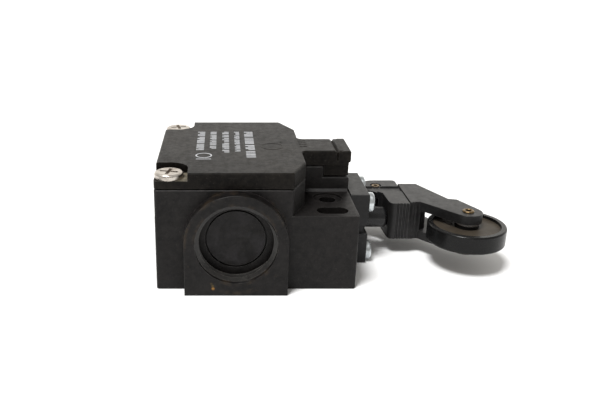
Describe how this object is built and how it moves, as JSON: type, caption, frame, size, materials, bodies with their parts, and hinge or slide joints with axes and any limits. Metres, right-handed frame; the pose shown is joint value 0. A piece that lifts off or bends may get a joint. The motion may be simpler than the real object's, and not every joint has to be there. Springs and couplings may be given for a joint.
{
  "type": "limit switch",
  "caption": "Plastic position switch with two side cable entries, a screwed and hooked cover, a square screwed head and an offset roller lever on a plunger.",
  "frame": {"origin": "midway between the two round fixing holes, on the mounting face", "axes": "+X from the case towards the head and roller lever, +Y across the case towards the lever's pivot, +Z from the mounting face to the cover"},
  "size_m": [0.0904, 0.0562, 0.0302],
  "materials": {
    "housing_plastic": "fine sparked texture",
    "cover_plastic": "fine sparked texture",
    "head_plastic": "satin moulded",
    "seal_rubber": "matt",
    "nickel_plate": "satin nickel plate",
    "zinc_plate": "bright zinc plate",
    "plunger_plastic": "polished",
    "lever_plastic": "satin moulded",
    "roller_plastic": "turned, satin gloss",
    "brass": "plain",
    "spring_steel": "bright drawn wire",
    "contact_plastic": "moulded",
    "carrier_plastic": "moulded, natural",
    "contact_alloy": "stamped copper alloy"
  },
  "bodies": {
    "case": {"housing": "housing_plastic", "cover": "cover_plastic", "cover_gasket": "seal_rubber", "cover_screws": "nickel_plate", "head_body": "head_plastic", "head_gasket": "seal_rubber", "head_screws": "zinc_plate", "plunger_guide_bush": "brass", "plunger_seal": "seal_rubber", "plunger_return_spring": "spring_steel", "carrier_return_spring": "spring_steel", "contact_block_base": "contact_plastic", "contact_block_lid": "contact_plastic", "contact_block_screws": "zinc_plate", "nc_terminal_near": "contact_alloy", "nc_terminal_far": "contact_alloy", "no_terminal_near": "contact_alloy", "no_terminal_far": "contact_alloy", "terminal_clamps": "nickel_plate", "terminal_screws": "nickel_plate"},
    "plunger_rod": {"plunger": "plunger_plastic", "plunger_retaining_ring": "spring_steel"},
    "carrier": {"contact_carrier": "carrier_plastic", "nc_contact_bridge": "contact_alloy", "no_contact_bridge": "contact_alloy", "nc_contact_spring": "spring_steel", "no_contact_spring": "spring_steel"},
    "lever": {"inner_lever": "lever_plastic", "pivot_pin": "brass", "roller_fork": "lever_plastic", "fork_screw": "zinc_plate", "fork_spring_washer": "spring_steel", "roller_axle": "brass", "roller_spacers": "lever_plastic"},
    "roller_wheel": {"roller": "roller_plastic", "roller_bush": "brass"}
  },
  "joints": [
    {"name": "lever_pivot", "type": "hinge", "parent": "case", "child": "lever", "pos_m": [0.0172, 0.0115, 0], "axis": [0, 0, -1], "range_deg": [0, 19.8], "stiffness_Nm_per_rad": 0.12, "springref_deg": -4.58},
    {"name": "plunger_slide", "type": "slide", "parent": "case", "child": "plunger_rod", "axis": [-1, 0, 0], "range_m": [0, 0.00473], "deforming": ["plunger_return_spring"]},
    {"name": "carrier_slide", "type": "slide", "parent": "case", "child": "carrier", "axis": [-1, 0, 0], "range_m": [0, 0.00473], "deforming": ["carrier_return_spring"]},
    {"name": "roller_spin", "type": "hinge", "parent": "lever", "child": "roller_wheel", "pos_m": [0.0371, -0.01, 0.00935], "axis": [0, 0, 1], "continuous": true}
  ],
  "couplings": [
    {"joint": "plunger_slide", "follows": "lever_pivot", "m_per_rad": 0.0136},
    {"joint": "carrier_slide", "follows": "lever_pivot", "m_per_rad": 0.0136}
  ]
}
